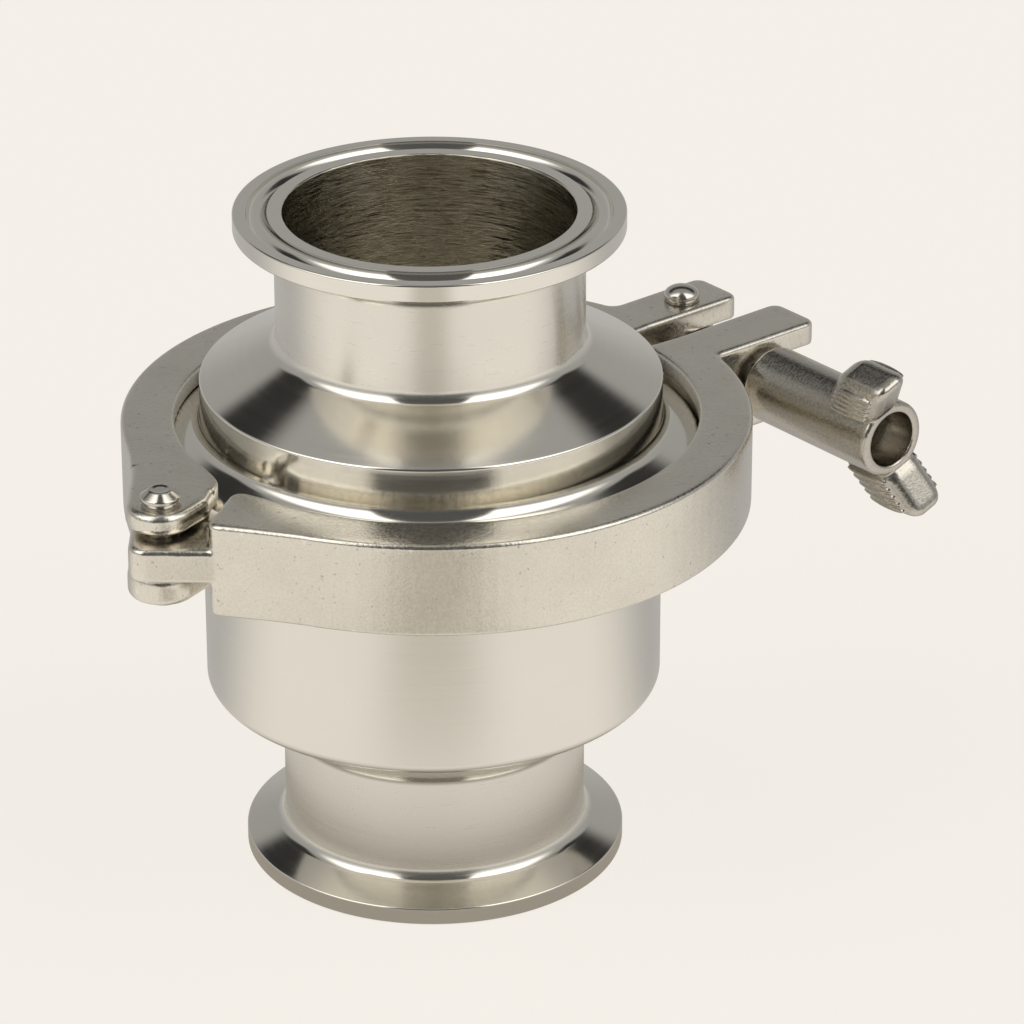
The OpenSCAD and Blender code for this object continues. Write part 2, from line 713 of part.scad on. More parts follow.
// Wing nut: a long barrel with a recessed end and two swept wings. Its own frame: x runs out along the bolt
barrel_edge = 0.8;
wing_corner = 1.6;
wing_nose = 1;
wing_edge = 0.8;
wing_root_r = recess_d / 2 + 2;
wing_tip_x = barrel_l + wing_sweep;
module wing() {
    rotate([90, 0, 0]) hull() {
        pad(barrel_l - wing_base_l + wing_nose, wing_root_r, wing_nose, wing_t, wing_edge);
        pad(barrel_l - wing_nose, wing_root_r, wing_nose, wing_t, wing_edge);
        pad(wing_tip_x - wing_tip_l + wing_corner, wing_r - wing_corner, wing_corner, wing_t, wing_edge);
        pad(wing_tip_x - wing_nose, wing_r - wing_nose, wing_nose, wing_t, wing_edge);
    }
}

// Grip ribs on both sides of a wing, along the barrel and as long as the wing is at their height
rib_sunk = 0.15;
rib_facets = 12;
rib_end_gap = 0.55;
module wing_ribs() {
    low = sqrt(pow(barrel_d / 2, 2) - pow(wing_t / 2, 2)) + 2 * rib_r;
    high = wing_r - wing_edge - rib_r;
    for (side = [-1, 1], i = [0 : rib_count - 1]) {
        share = i / (rib_count - 1);
        from = barrel_l - wing_base_l + share * (wing_base_l + wing_sweep - wing_tip_l);
        to = barrel_l + share * wing_sweep;
        translate([from + rib_end_gap, side * (wing_t / 2 - rib_sunk), low + share * (high - low)])
            rotate([0, 90, 0]) cylinder(r = rib_r, h = to - from - 2 * rib_end_gap, $fn = rib_facets);
    }
}

// The whole wing nut, leaned as it was left
module wing_nut() {
    color(cast) clamp_place() translate([pivot_x, seat_y, 0]) rotate([0, 0, -90]) rotate([wing_lean, 0, 0])
        difference() {
            union() {
                rotate([0, 90, 0]) rotate_extrude($fn = fine) polygon(outline([
                    [0, 0, 0],
                    [barrel_d / 2, 0, barrel_edge],
                    [barrel_d / 2, barrel_l, barrel_edge],
                    [0, barrel_l, 0]
                ]));
                for (side = [0, 180]) rotate([side, 0, 0]) {
                    wing();
                    wing_ribs();
                }
            }
            rotate([0, 90, 0]) translate([0, 0, -cut_over])
                cylinder(r = bolt_d / 2 + running_fit, h = barrel_l, $fn = fine);
            rotate([0, 90, 0]) translate([0, 0, barrel_l - recess_l])
                cylinder(d = recess_d, h = recess_l + wing_sweep + cut_over, $fn = fine);
        }
}

lower_body();
upper_body();
body_gasket();
guide_spider();
guide_bush();
valve_spring();
valve_disc();
disc_seal_ring();
inlet_guide();
valve_stem();
stem_washer();
stem_nut();
clamp_rear_half();
clamp_front_half();
hinge_pin();
bolt_pivot_pin();
swing_bolt();
wing_nut();
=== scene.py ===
"""Looks of a hygienic non-return valve: smooth shells, cast clamp parts, steel finishes and a plain studio.

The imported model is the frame. Its axis is Z, the inlet face is z = 0 and lengths are metres; the sizes
written here are millimetres and are turned into metres where a mesh or a material is made.
"""

import json
import logging
import math
from collections.abc import Callable, Iterable, Sequence
from dataclasses import dataclass
from enum import Enum

import bpy
from mathutils import Matrix, Vector
from mathutils.kdtree import KDTree


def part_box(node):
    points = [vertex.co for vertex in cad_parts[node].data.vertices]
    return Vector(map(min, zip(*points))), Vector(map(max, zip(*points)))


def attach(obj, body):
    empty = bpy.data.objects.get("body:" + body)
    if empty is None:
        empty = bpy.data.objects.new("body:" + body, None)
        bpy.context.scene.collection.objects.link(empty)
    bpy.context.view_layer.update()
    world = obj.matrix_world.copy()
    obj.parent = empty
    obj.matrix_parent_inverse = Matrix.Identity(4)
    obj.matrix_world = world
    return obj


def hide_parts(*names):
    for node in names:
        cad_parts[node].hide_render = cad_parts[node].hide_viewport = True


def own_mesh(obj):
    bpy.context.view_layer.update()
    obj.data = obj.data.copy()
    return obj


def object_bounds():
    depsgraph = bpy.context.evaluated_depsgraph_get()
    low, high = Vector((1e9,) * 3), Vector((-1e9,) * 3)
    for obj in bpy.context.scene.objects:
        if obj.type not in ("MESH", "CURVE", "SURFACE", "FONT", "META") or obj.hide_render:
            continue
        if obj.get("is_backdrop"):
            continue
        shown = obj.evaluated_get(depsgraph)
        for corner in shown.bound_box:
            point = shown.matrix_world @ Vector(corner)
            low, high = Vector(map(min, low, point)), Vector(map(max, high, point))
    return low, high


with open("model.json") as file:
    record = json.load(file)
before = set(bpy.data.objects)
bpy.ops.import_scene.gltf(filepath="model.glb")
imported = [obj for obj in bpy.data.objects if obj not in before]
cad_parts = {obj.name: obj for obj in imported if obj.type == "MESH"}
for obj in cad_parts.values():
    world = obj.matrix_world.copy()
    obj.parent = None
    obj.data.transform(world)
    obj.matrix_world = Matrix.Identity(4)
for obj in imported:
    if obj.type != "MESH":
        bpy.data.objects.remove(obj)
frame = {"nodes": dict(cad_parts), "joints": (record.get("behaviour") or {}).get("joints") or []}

MM = 0.001
FULL_TURN = 2 * math.pi
WELD = MM / 1000  # points closer than this are one point
BREAK_ANGLE = math.radians(28)  # edges that turn more than this are broken
SMOOTH_ANGLE = math.radians(40)  # faces that turn less than this are shaded as one
RELAX = 0.5  # share of the way that a point moves in one relaxing pass
SMALL_STEPS = 96  # steps of the full turn of a small turned piece
Piece = bpy.types.Object
Skin = bpy.types.Material
Point = tuple[float, float]
Span = tuple[float, float]
Colour = tuple[float, float, float, float]


# Modelling with operators


class Bench:
    """The modelling bench: every operator starts from a clean selection here."""

    @staticmethod
    def rest() -> None:
        """Leaves edit mode and deselects everything."""
        if bpy.context.object and bpy.context.object.mode != "OBJECT":
            bpy.ops.object.mode_set(mode="OBJECT")
        bpy.ops.object.select_all(action="DESELECT")

    @staticmethod
    def hold(piece: Piece) -> None:
        """Selects one piece alone and makes it the active one."""
        Bench.rest()
        piece.select_set(True)
        bpy.context.view_layer.objects.active = piece

    @staticmethod
    def new(name: str, data: bpy.types.ID) -> Piece:
        """Puts a new object with its data in the scene."""
        piece = bpy.data.objects.new(name, data)
        bpy.context.scene.collection.objects.link(piece)
        return piece

    @staticmethod
    def add(operator: Callable, **settings: object) -> Piece:
        """Adds a primitive by its operator and leaves its place and size in its mesh."""
        Bench.rest()
        operator(**settings)
        bpy.ops.object.transform_apply(location=True, rotation=True, scale=True)
        return bpy.context.object

    @staticmethod
    def edit(piece: Piece) -> None:
        """Holds a piece and enters edit mode with all of it selected."""
        Bench.hold(piece)
        bpy.ops.object.mode_set(mode="EDIT")
        bpy.ops.mesh.select_all(action="SELECT")

    @staticmethod
    def modify(piece: Piece, kind: str, **settings: object) -> None:
        """Adds a modifier to a piece and applies it.

        Args:
            piece: The object that is changed.
            kind: Blender's name of the modifier's type.
            settings: Properties that are set before it is applied.
        """
        Bench.hold(piece)
        modifier = piece.modifiers.new(kind.title(), kind)
        for key, value in settings.items():
            setattr(modifier, key, value)
        bpy.ops.object.modifier_apply(modifier=modifier.name)

    @staticmethod
    def place(piece: Piece, matrix: Matrix) -> None:
        """Moves a piece and leaves its place in its mesh, with the object at the origin."""
        piece.matrix_world = matrix @ piece.matrix_world
        Bench.hold(piece)
        bpy.ops.object.transform_apply(location=True, rotation=True, scale=True)

    @staticmethod
    def join(name: str, pieces: Sequence[Piece]) -> Piece:
        """Joins several pieces into the first one and gives it a name."""
        Bench.hold(pieces[0])
        for piece in pieces[1:]:
            piece.select_set(True)
        bpy.ops.object.join()
        pieces[0].name = name
        return pieces[0]


@dataclass(frozen=True)
class Corner:
    """One corner of a turned profile, in millimetres.

    A positive round gives the corner an arc of that radius. A groove makes the outline dip along a
    half circle of that radius instead, into the metal.
    """

    r: float
    z: float
    round: float = 0.0
    groove: float = 0.0


def arc(before: Corner, corner: Corner, after: Corner, steps: int) -> list[Point]:
    """Rounds one corner between its neighbours.

    Args:
        before: The corner before it.
        corner: The corner that is rounded.
        after: The corner after it.
        steps: How many straight steps the arc has.

    Returns:
        The points of the arc.
    """
    place = Vector((corner.r, corner.z))
    back = (Vector((before.r, before.z)) - place).normalized()
    ahead = (Vector((after.r, after.z)) - place).normalized()
    half = back.angle(ahead) / 2
    centre = place + (back + ahead).normalized() * corner.round / math.sin(half)
    start = place + back * corner.round / math.tan(half) - centre
    end = place + ahead * corner.round / math.tan(half) - centre
    sweep = start.angle_signed(end)
    return [tuple(centre + Matrix.Rotation(-sweep * i / steps, 2) @ start) for i in range(steps + 1)]


def dip(corner: Corner, way: float, steps: int) -> list[Point]:
    """Draws a half-round groove in a flat face.

    Args:
        corner: The groove's centre on the face.
        way: 1 where the outline runs outwards with the metal above it, -1 where it runs inwards.
        steps: How many straight steps the half circle has.

    Returns:
        The points of the groove.
    """
    size = way * corner.groove
    angles = [math.pi * i / steps for i in range(steps + 1)]
    return [(corner.r - size * math.cos(a), corner.z + size * math.sin(a)) for a in angles]


def outline(corners: Sequence[Corner], steps: int = 10) -> list[Point]:
    """Turns corners into the points of a closed outline, which runs anticlockwise round the metal."""
    points: list[Point] = []
    for i, corner in enumerate(corners):
        before, after = corners[i - 1], corners[(i + 1) % len(corners)]
        if corner.groove:
            points += dip(corner, math.copysign(1, after.r - before.r), 2 * steps)
        elif corner.round:
            points += arc(before, corner, after, steps)
        else:
            points.append((corner.r, corner.z))
    return points


def turned(name: str, points: Sequence[Point], closed: bool = True, steps: int = 256) -> Piece:
    """Turns a profile about Z: one vertex is extruded along the profile, which is then spun.

    Args:
        name: The piece's name.
        points: Radius and height of each point, in millimetres.
        closed: Whether the profile returns to its start; an open one starts and ends on the axis.
        steps: How many steps the full turn has.

    Returns:
        The turned piece, centred on Z.
    """
    route = [Vector((r, 0, z)) * MM for r, z in points]
    if closed:
        route.append(route[0])
    piece = Bench.add(bpy.ops.mesh.primitive_plane_add, size=MM, location=route[0])
    piece.name = name
    Bench.edit(piece)
    bpy.ops.mesh.merge(type="CENTER")
    for start, end in zip(route, route[1:]):
        bpy.ops.mesh.extrude_vertices_move(TRANSFORM_OT_translate={"value": end - start})
    bpy.ops.mesh.select_all(action="SELECT")
    bpy.ops.mesh.remove_doubles(threshold=WELD)
    bpy.ops.mesh.spin(steps=steps, angle=FULL_TURN, center=(0, 0, 0), axis=(0, 0, 1))
    bpy.ops.mesh.select_all(action="SELECT")
    bpy.ops.mesh.remove_doubles(threshold=WELD)
    bpy.ops.mesh.normals_make_consistent(inside=False)
    Bench.rest()
    return piece


def machined(piece: Piece, break_edge: float) -> None:
    """Breaks a turned piece's sharp edges and shades it smooth.

    Args:
        piece: The turned piece.
        break_edge: Width of the broken edges, in millimetres.
    """
    limit = {"limit_method": "ANGLE", "angle_limit": BREAK_ANGLE}
    Bench.modify(piece, "BEVEL", width=break_edge * MM, segments=2, **limit)
    bpy.ops.object.shade_smooth_by_angle(angle=SMOOTH_ANGLE)
    Bench.modify(piece, "WEIGHTED_NORMAL", keep_sharp=True, weight=100)


def joint(name: str) -> dict:
    """One of the frame's joints, by its name."""
    return next(each for each in frame["joints"] if each["name"] == name)


def centre(node: str) -> Vector:
    """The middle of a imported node's box."""
    return sum(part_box(node), Vector()) / 2


def bolt_place() -> tuple[Vector, Vector, Matrix]:
    """The eye bolt's pivot, its direction, and the turn that lays Z along it."""
    along = Vector(joint("nut_travel")["axis"]).normalized()
    return Vector(joint("bolt_swing")["pos_m"]), along, along.to_track_quat("Z", "Y").to_matrix().to_4x4()


def solid_copy(name: str, node: str) -> Piece:
    """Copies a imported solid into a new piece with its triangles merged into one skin."""
    piece = Bench.new(name, frame["nodes"][node].data.copy())
    Bench.edit(piece)
    bpy.ops.mesh.remove_doubles(threshold=WELD)
    bpy.ops.mesh.customdata_custom_splitnormals_clear()
    Bench.rest()
    return piece


def cast(piece: Piece, grain: float, passes: int) -> None:
    """Gives a piece the soft skin of a casting: an even mesh whose edges are rounded by relaxing it.

    Args:
        piece: The piece, a closed solid or several that overlap.
        grain: Edge length of the even mesh, in millimetres.
        passes: How often the mesh is relaxed.
    """
    Bench.modify(piece, "REMESH", mode="VOXEL", voxel_size=grain * MM, use_smooth_shade=True)
    Bench.modify(piece, "SMOOTH", factor=RELAX, iterations=passes)


# Materials


@dataclass(frozen=True)
class Wire:
    """A socket that takes part in Python maths; each operator adds its Math node."""

    board: "Board"
    socket: bpy.types.NodeSocket

    @staticmethod
    def _on(operation: str) -> Callable:
        """Makes the method of one operator."""
        return lambda self, *other: self.board.math(operation, self, *other)

    __add__ = __radd__ = _on("ADD")
    __mul__ = __rmul__ = _on("MULTIPLY")
    __sub__ = _on("SUBTRACT")
    __truediv__ = _on("DIVIDE")
    __abs__ = _on("ABSOLUTE")

    def __rsub__(self, other: float) -> "Wire":
        """other - self"""
        return self.board.math("SUBTRACT", other, self)


Value = Wire | float | Sequence[float]


class Board:
    """A node tree that is being wired."""

    def __init__(self, tree: bpy.types.NodeTree) -> None:
        """Starts from an empty tree."""
        self.tree = tree
        tree.nodes.clear()

    def node(
        self, kind: str, settings: dict | None = None, values: dict | None = None, out: int | str = 0
    ) -> Wire | None:
        """Adds one node.

        Args:
            kind: The node's type, without its ShaderNode prefix.
            settings: The node's own properties.
            values: Values or wires for its inputs, by name or number.
            out: The output that is wanted.

        Returns:
            The wanted output, or None for a node that has none.
        """
        node = self.tree.nodes.new("ShaderNode" + kind)
        for key, value in (settings or {}).items():
            setattr(node, key, value)
        for key, value in (values or {}).items():
            if isinstance(value, Wire):
                self.tree.links.new(value.socket, node.inputs[key])
            else:
                node.inputs[key].default_value = value
        return Wire(self, node.outputs[out]) if node.outputs else None

    def math(self, operation: str, *values: Wire | float) -> Wire:
        """Adds a Math node on its values."""
        return self.node("Math", {"operation": operation}, dict(enumerate(values)))

    def step(self, value: Wire, low: float, high: float) -> Wire:
        """Rises smoothly from 0 at low to 1 at high, also where low is the larger one."""
        swap = low > high
        first, last = (high, low) if swap else (low, high)
        values = {"Value": value, "From Min": first, "From Max": last}
        rise = self.node("MapRange", {"interpolation_type": "SMOOTHSTEP"}, values, "Result")
        return 1 - rise if swap else rise

    def band(self, value: Wire, low: float, high: float, soft: float) -> Wire:
        """Is 1 between low and high and falls to 0 over a soft edge."""
        return self.step(value, low - soft, low) * self.step(value, high + soft, high)

    def blend(self, factor: Wire | float, first: Value, second: Value) -> Wire:
        """Mixes two colours."""
        return self.node("Mix", {"data_type": "RGBA"}, {0: factor, 6: first, 7: second}, 2)

    def position(self) -> Wire:
        """The object coordinates in millimetres."""
        metres = self.node("TexCoord", out="Object")
        return self.node("VectorMath", {"operation": "SCALE"}, {0: metres, "Scale": 1 / MM})

    def parts(self, vector: Wire) -> tuple[Wire, Wire, Wire]:
        """The three parts of a vector."""
        split = self.node("SeparateXYZ", values={0: vector})
        return tuple(Wire(self, part) for part in split.socket.node.outputs)

    def ray(self, kind: str) -> Wire:
        """Is 1 for rays of one kind."""
        return self.node("LightPath", out=f"Is {kind} Ray")

    def noise(self, vector: Wire, scale: float, detail: float = 2.0, roughness: float = 0.5) -> Wire:
        """Noise between 0 and 1, with its scale in cycles per millimetre."""
        values = {"Vector": vector, "Scale": scale, "Detail": detail, "Roughness": roughness}
        return self.node("TexNoise", values=values)


class Paint(Board):
    """The board of a material that has one Principled shader."""

    def __init__(self, name: str, **values: Value) -> None:
        """Makes the material.

        Args:
            name: The material's name.
            values: Constant values of the shader's sockets, with underscores for spaces.
        """
        self.skin = bpy.data.materials.new(name)
        self.skin.use_nodes = True
        super().__init__(self.skin.node_tree)
        named = {key.replace("_", " "): value for key, value in values.items()}
        self.shader = self.node("BsdfPrincipled", values=named)
        self.node("OutputMaterial", values={"Surface": self.shader})

    def coat(self, colour: Wire, rough: Wire, height: Wire, depth: float, strength: float) -> Skin:
        """Links what varies to the shader.

        Args:
            colour: The base colour.
            rough: The roughness.
            height: The height of the fine relief.
            depth: The relief's depth, in millimetres.
            strength: How strongly the relief shows.

        Returns:
            The material.
        """
        relief = {"Height": height, "Distance": depth * MM, "Strength": strength}
        wires = {"Base Color": colour, "Roughness": rough, "Normal": self.node("Bump", values=relief)}
        for key, wire in wires.items():
            self.tree.links.new(wire.socket, self.shader.socket.node.inputs[key])
        return self.skin


class Head(Enum):
    """How the head of a riveted pin was formed."""

    CONE = "a cone with a flat top"
    DOME = "a round dome"


@dataclass(frozen=True)
class TurnedFinish:
    """Turned stainless steel: fine marks round the axis, brushed necks, brighter cones, a scored bore."""

    name: str = "turned_stainless"
    steel: Colour = (0.87, 0.845, 0.78, 1)
    dull: Colour = (0.78, 0.755, 0.69, 1)
    bore: Colour = (0.84, 0.79, 0.67, 1)
    bore_dark: Colour = (0.66, 0.62, 0.51, 1)
    brushed: float = 0.25
    bright: float = 0.13
    bore_r: float = 24.4
    marked_r: float = 27.0
    mark_edge: Span = (0.66, 0.74)
    score_edge: Span = (0.40, 0.66)
    score_height: float = 7.0
    depth: float = 0.006

    def make(self, bright_bands: Iterable[Span], inner: Span) -> Skin:
        """Makes the finish for one body half.

        Args:
            bright_bands: Heights between which the outside is turned bright.
            inner: Heights between which the bore lies.

        Returns:
            The material.
        """
        board = Paint(self.name, Metallic=1.0, Anisotropic=0.5, Anisotropic_Rotation=0.25)
        place = board.position()
        x, y, z = board.parts(place)
        radius = board.math("SQRT", x * x + y * y)
        along = z + radius

        def drawn(stretch: float, pitch: float) -> Wire:
            """Coordinates that draw noise out round the axis and set its pitch along the surface."""
            return board.node("CombineXYZ", values={0: x * stretch, 1: y * stretch, 2: along * pitch})

        fine = board.noise(drawn(0.02, 1.0), 1.7, 3.0, 0.65)
        marks = board.step(board.noise(drawn(0.12, 1.7), 2.0, 1.0), *self.mark_edge)
        marks = marks * board.step(radius, self.marked_r + 1, self.marked_r)
        scored = board.step(board.noise(drawn(0.08, 3.0), 2.2, 3.0, 0.6), *self.score_edge)
        cloud = board.noise(place, 0.06, 2.0)
        bright = 0.0
        for low, high in bright_bands:
            bright = bright + board.band(z, low, high, 0.4)
        in_bore = board.step(radius, self.bore_r, self.bore_r - 0.3) * board.band(z, *inner, 0.3)
        rough = self.brushed + (self.bright - self.brushed) * bright
        rough = rough + (fine - 0.5) * 0.12 + marks * 0.05 + in_bore * (scored * 0.1 - 0.14)
        colour = board.blend(fine * 0.6 + cloud * 0.4, self.dull, self.steel)
        colour = board.blend(marks * 0.4, colour, self.dull)
        colour = board.blend(in_bore, colour, board.blend(scored, self.bore_dark, self.bore))
        height = fine * (1 - bright * 0.7) + in_bore * scored * self.score_height
        return board.coat(colour, rough, height, self.depth, 0.5)


@dataclass(frozen=True)
class CastFinish:
    """Blasted cast stainless steel with a fine grain, dark specks, burnished edges and painted shade in its
    hollows.
    """

    name: str = "blasted_cast_stainless"
    face: Colour = (0.84, 0.805, 0.725, 1)
    # shade is the darker tone of the grain and also the colour of the painted shade in the hollows
    shade: Colour = (0.66, 0.625, 0.55, 1)
    speck: Colour = (0.36, 0.30, 0.23, 1)
    edge: Colour = (0.84, 0.81, 0.75, 1)
    roughness: float = 0.22
    worn: float = 0.15
    grain: float = 2.3
    depth: float = 0.013
    wear: float = 0.8
    grain_edge: Span = (0.34, 0.66)
    speck_edge: Span = (0.67, 0.73)
    ridge: Span = (0.515, 0.60)
    # pointiness span of the hollows that get painted shade
    hollow: Span = (0.485, 0.42)

    def make(self) -> Skin:
        """Makes the finish; edges and hollows are found from how sharply the mesh turns, and the hollows get
        painted shade.
        """
        board = Paint(self.name, Metallic=1.0)
        place = board.position()
        grain = board.step(board.noise(place, self.grain, 2.0, 0.6), *self.grain_edge)
        cloud = board.noise(place, 0.09, 3.0, 0.6)
        specks = board.step(board.noise(place, 1.3, 2.0, 0.6), *self.speck_edge)
        point = board.node("NewGeometry", out="Pointiness")
        worn = board.step(point, *self.ridge) * self.wear
        hollow = board.step(point, *self.hollow)
        colour = board.blend(grain * 0.4 + cloud * 0.8 - 0.05, self.shade, self.face)
        # painted shade: hollows and creases are darkened toward the shade colour
        colour = board.blend(hollow * 0.6, colour, self.shade)
        colour = board.blend(specks * 0.5, colour, self.speck)
        colour = board.blend(worn, colour, self.edge)
        rough = self.roughness + (grain - 0.5) * 0.10 + (self.worn - self.roughness) * worn
        height = grain + cloud * 5 - specks * 2
        return board.coat(colour, rough, height, self.depth, 0.6)


@dataclass(frozen=True)
class PolishedFinish:
    """Polished stainless steel with soft dents and faint rubbing marks."""

    name: str = "polished_stainless"
    steel: Colour = (0.70, 0.675, 0.63, 1)
    dull: Colour = (0.58, 0.55, 0.50, 1)
    roughness: float = 0.17
    dent: float = 0.02

    def make(self) -> Skin:
        """Makes the finish."""
        board = Paint(self.name, Metallic=1.0)
        place = board.position()
        rub = board.noise(place, 3.0, 4.0, 0.6)
        cloud = board.noise(place, 0.35, 2.0)
        colour = board.blend(rub * 0.5 + cloud * 0.5, self.dull, self.steel)
        rough = self.roughness + (rub - 0.5) * 0.12 + (cloud - 0.5) * 0.08
        return board.coat(colour, rough, cloud, self.dent, 0.5)


@dataclass(frozen=True)
class MouldedFinish:
    """A moulded soft or plastic surface with a fine skin."""

    name: str
    colour: Colour
    tint: Colour
    roughness: float
    grain: float = 1.5

    def make(self) -> Skin:
        """Makes the finish."""
        board = Paint(self.name, Metallic=0.0)
        place = board.position()
        grain = board.noise(place, self.grain, 3.0, 0.6)
        cloud = board.noise(place, 0.12, 2.0)
        colour = board.blend(grain * 0.4 + cloud * 0.6, self.tint, self.colour)
        rough = self.roughness + (grain - 0.5) * 0.15
        return board.coat(colour, rough, grain, 0.01, 0.4)


def settle(piece: Piece, skin: Skin, body: str, node: str) -> None:
    """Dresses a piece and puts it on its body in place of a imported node.

    Args:
        piece: The new piece.
        skin: Its material.
        body: The body that carries it.
        node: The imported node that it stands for.
    """
    piece.data.materials.clear()
    piece.data.materials.append(skin)
    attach(piece, body)
    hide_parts(node)
    triangles = sum(len(face.vertices) - 2 for face in piece.data.polygons)
    logging.info("%s: %d triangles on %s", piece.name, triangles, body)


# The object


@dataclass
class Body:
    """The two turned halves of the valve body."""

    tube_r: float = 25.4
    wall: float = 1.5
    cup_r: float = 38.1
    cup_z: float = 32.0
    cup_angle: float = 33.0
    cap_drop: float = 29.0
    cap_angle: float = 27.0
    cup_corner: float = 2.0
    cap_corner: float = 0.5
    neck_fillet: float = 2.4
    ferrule_r: float = 32.0
    rim_h: float = 2.85
    taper: float = 20.0
    rim_edge: float = 0.3
    groove_r: float = 1.7
    ferrule_groove: float = 28.1
    flange_groove: float = 41.75
    broken_edge: float = 0.12
    cone_foot: float = 6.5
    bore_lip: float = 0.2

    def __post_init__(self) -> None:
        """Works out the radii and heights that follow from the sizes and the frame."""
        lower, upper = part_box("lower_body"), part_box("upper_body")
        self.flange_r = lower[1][0] / MM
        self.lower_face = lower[1][2] / MM
        self.upper_face = upper[0][2] / MM
        self.top = upper[1][2] / MM
        self.cap_z = self.top - self.cap_drop
        self.bore_r = self.tube_r - self.wall
        self.chamber_r = self.cup_r - self.wall
        self.ferrule_rise = self.slope(self.ferrule_r - self.tube_r, self.taper)
        self.flange_rise = self.slope(self.flange_r - self.cup_r, self.taper)

    def slope(self, width: float, angle: float) -> float:
        """Height that a cone of this angle gains over a radial width."""
        return width * math.tan(math.radians(angle))

    def inside(self, z: float, angle: float, r: float) -> float:
        """Height at radius r inside a cone from the cup's side at z, which falls for a negative angle."""
        rise = math.copysign(self.wall / math.cos(math.radians(angle)), angle)
        return z + self.slope(self.cup_r - r, angle) - rise

    def lower_profile(self) -> list[Point]:
        """Profile of the half with the inlet ferrule, the neck, the cup and its flange."""
        face, rim, edge = self.lower_face, self.rim_h, self.rim_edge
        cone = self.cup_z, -self.cup_angle
        neck_top = self.cup_z - self.slope(self.cup_r - self.tube_r, self.cup_angle)
        return outline([
            Corner(self.bore_r, 0, edge),
            Corner(self.ferrule_groove, 0, groove=self.groove_r),
            Corner(self.ferrule_r, 0, edge),
            Corner(self.ferrule_r, rim, edge),
            Corner(self.tube_r, rim + self.ferrule_rise, self.neck_fillet),
            Corner(self.tube_r, neck_top, self.neck_fillet),
            Corner(self.cup_r, self.cup_z, self.cup_corner),
            Corner(self.cup_r, face - rim - self.flange_rise, self.neck_fillet),
            Corner(self.flange_r, face - rim, edge),
            Corner(self.flange_r, face, edge),
            Corner(self.flange_groove, face, groove=self.groove_r),
            Corner(self.chamber_r, face),
            Corner(self.chamber_r, self.inside(*cone, self.chamber_r), self.cup_corner),
            Corner(self.bore_r, self.inside(*cone, self.bore_r), edge),
        ])

    def upper_profile(self) -> list[Point]:
        """Profile of the half with the flange, the cap, its cone, the neck and the outlet ferrule."""
        face, rim, edge = self.upper_face, self.rim_h, self.rim_edge
        cone = self.cap_z, self.cap_angle
        neck_foot = self.cap_z + self.slope(self.cup_r - self.tube_r, self.cap_angle)
        return outline([
            Corner(self.chamber_r, face),
            Corner(self.flange_groove, face, groove=self.groove_r),
            Corner(self.flange_r, face, edge),
            Corner(self.flange_r, face + rim, edge),
            Corner(self.cup_r, face + rim + self.flange_rise, self.neck_fillet),
            Corner(self.cup_r, self.cap_z, self.cap_corner),
            Corner(self.tube_r, neck_foot, self.neck_fillet),
            Corner(self.tube_r, self.top - rim - self.ferrule_rise, self.neck_fillet),
            Corner(self.ferrule_r, self.top - rim, edge),
            Corner(self.ferrule_r, self.top, edge),
            Corner(self.ferrule_groove, self.top, groove=self.groove_r),
            Corner(self.bore_r, self.top, edge),
            Corner(self.bore_r, self.inside(*cone, self.bore_r), edge),
            Corner(self.chamber_r, self.inside(*cone, self.chamber_r)),
        ])

    def build(self) -> None:
        """Turns, dresses and settles both halves."""
        lower_bright = [(0, self.rim_h + self.ferrule_rise)]
        upper_bright = [(self.upper_face, self.cap_z + self.cone_foot), (self.top - self.rim_h, self.top)]
        halves = (
            ("lower_body", self.lower_profile(), lower_bright, (-1, self.cup_z)),
            ("upper_body", self.upper_profile(), upper_bright, (self.cap_z, self.top - self.bore_lip)),
        )
        for node, profile, bright, inner in halves:
            piece = turned(node + "_shell", profile)
            machined(piece, self.broken_edge)
            settle(piece, TurnedFinish().make(bright, inner), "valve_body", node)


